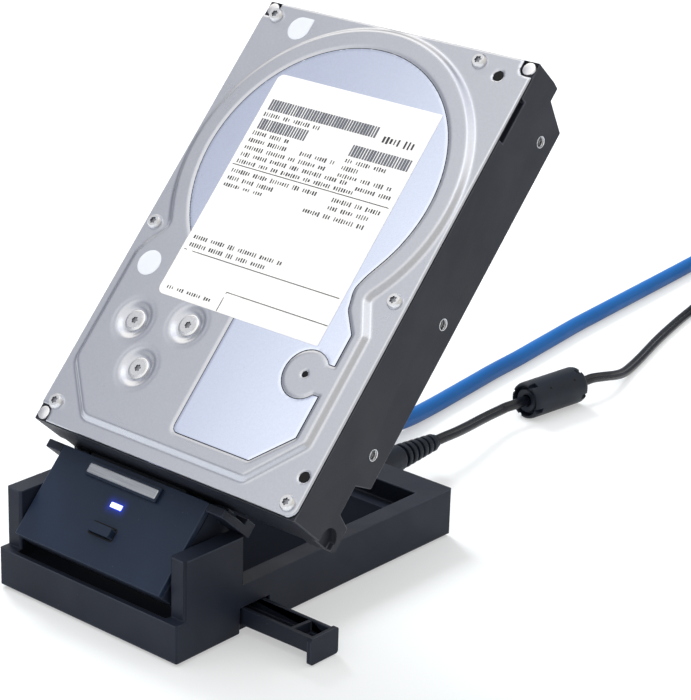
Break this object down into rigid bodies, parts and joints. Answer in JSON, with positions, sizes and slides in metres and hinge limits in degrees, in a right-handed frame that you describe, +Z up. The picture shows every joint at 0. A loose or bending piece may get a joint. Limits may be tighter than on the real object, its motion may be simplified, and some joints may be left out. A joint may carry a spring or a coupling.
{
  "type": "hard drive docking station",
  "caption": "Low tray dock whose tilting cradle holds a bare hard drive leaning back, with a lit front panel, power button, side outrigger and data and power cords.",
  "frame": {"origin": "on the table, under the middle of the front rubber foot strip", "axes": "+Z up, -Y towards the front of the dock, +X to the right of someone facing its front panel"},
  "size_m": [0.1443, 0.4912, 0.1585],
  "materials": {
    "base_plastic": "satin moulded",
    "panel_plastic": "satin moulded",
    "badge_silver": "satin",
    "foot_rubber": "matt",
    "screw_steel": "satin",
    "board_green": "solder mask",
    "chip_black": "matt",
    "connector_black": "satin",
    "socket_steel": "satin",
    "light_clear": "clear",
    "light_chip": "gloss",
    "casting_dark": "satin coated",
    "cover_silver": "satin",
    "foil_bright": "bright",
    "paper_white": "satin",
    "post_bright": "bright",
    "cable_blue": "satin",
    "cable_black": "satin",
    "plug_black": "satin"
  },
  "bodies": {
    "base": {"base_shell": "base_plastic", "base_bottom_cover": "base_plastic", "rubber_feet": "foot_rubber", "base_screws": "screw_steel", "main_pcb": "board_green", "bridge_chips": "chip_black", "dc_jack": "connector_black", "usb_socket": "socket_steel", "hinge_pins": "screw_steel", "usb_plug": "cable_blue", "usb_cable": "cable_blue", "usb_coil": "cable_blue", "usb_tie": "plug_black", "usb_far_plug": "cable_blue", "dc_plug": "plug_black", "dc_lead_front": "cable_black", "ferrite_core": "plug_black", "dc_lead_rear": "cable_black", "dc_coil": "cable_black", "dc_tie": "plug_black", "power_adapter": "plug_black", "adapter_blades": "socket_steel"},
    "cradle": {"cradle_shell": "panel_plastic", "cradle_front_panel": "panel_plastic", "badge_bar": "badge_silver", "light_window": "light_clear", "light_chip": "light_chip", "cradle_pcb": "board_green", "tact_switch": "chip_black", "sata_receptacle": "connector_black", "cradle_screws": "screw_steel"},
    "button": {"power_button": "panel_plastic", "switch_plunger": "chip_black"},
    "outrigger_arm": {"outrigger": "base_plastic"},
    "drive": {"drive_casting": "casting_dark", "drive_top_cover": "cover_silver", "drive_cover_foil": "foil_bright", "drive_label": "paper_white", "drive_seals": "paper_white", "drive_cover_screws": "screw_steel", "drive_corner_posts": "post_bright", "drive_pcb": "board_green", "drive_pcb_screws": "screw_steel", "drive_sata_plug": "connector_black"}
  },
  "joints": [
    {"name": "cradle_tilt", "type": "hinge", "parent": "base", "child": "cradle", "pos_m": [0, 0.002, 0.021], "axis": [1, 0, 0], "range_deg": [0, 42.5]},
    {"name": "drive_slide", "type": "slide", "parent": "cradle", "child": "drive", "axis": [0, 0.6756, 0.7373], "range_m": [0, 0.03]},
    {"name": "button_press", "type": "slide", "parent": "cradle", "child": "button", "axis": [0, 0.7373, -0.6756], "range_m": [0, 0.0006], "stiffness_N_per_m": 1500, "springref_m": -0.0003},
    {"name": "outrigger_slide", "type": "slide", "parent": "base", "child": "outrigger_arm", "axis": [1, 0, 0], "range_m": [-0.0265, 0]}
  ]
}
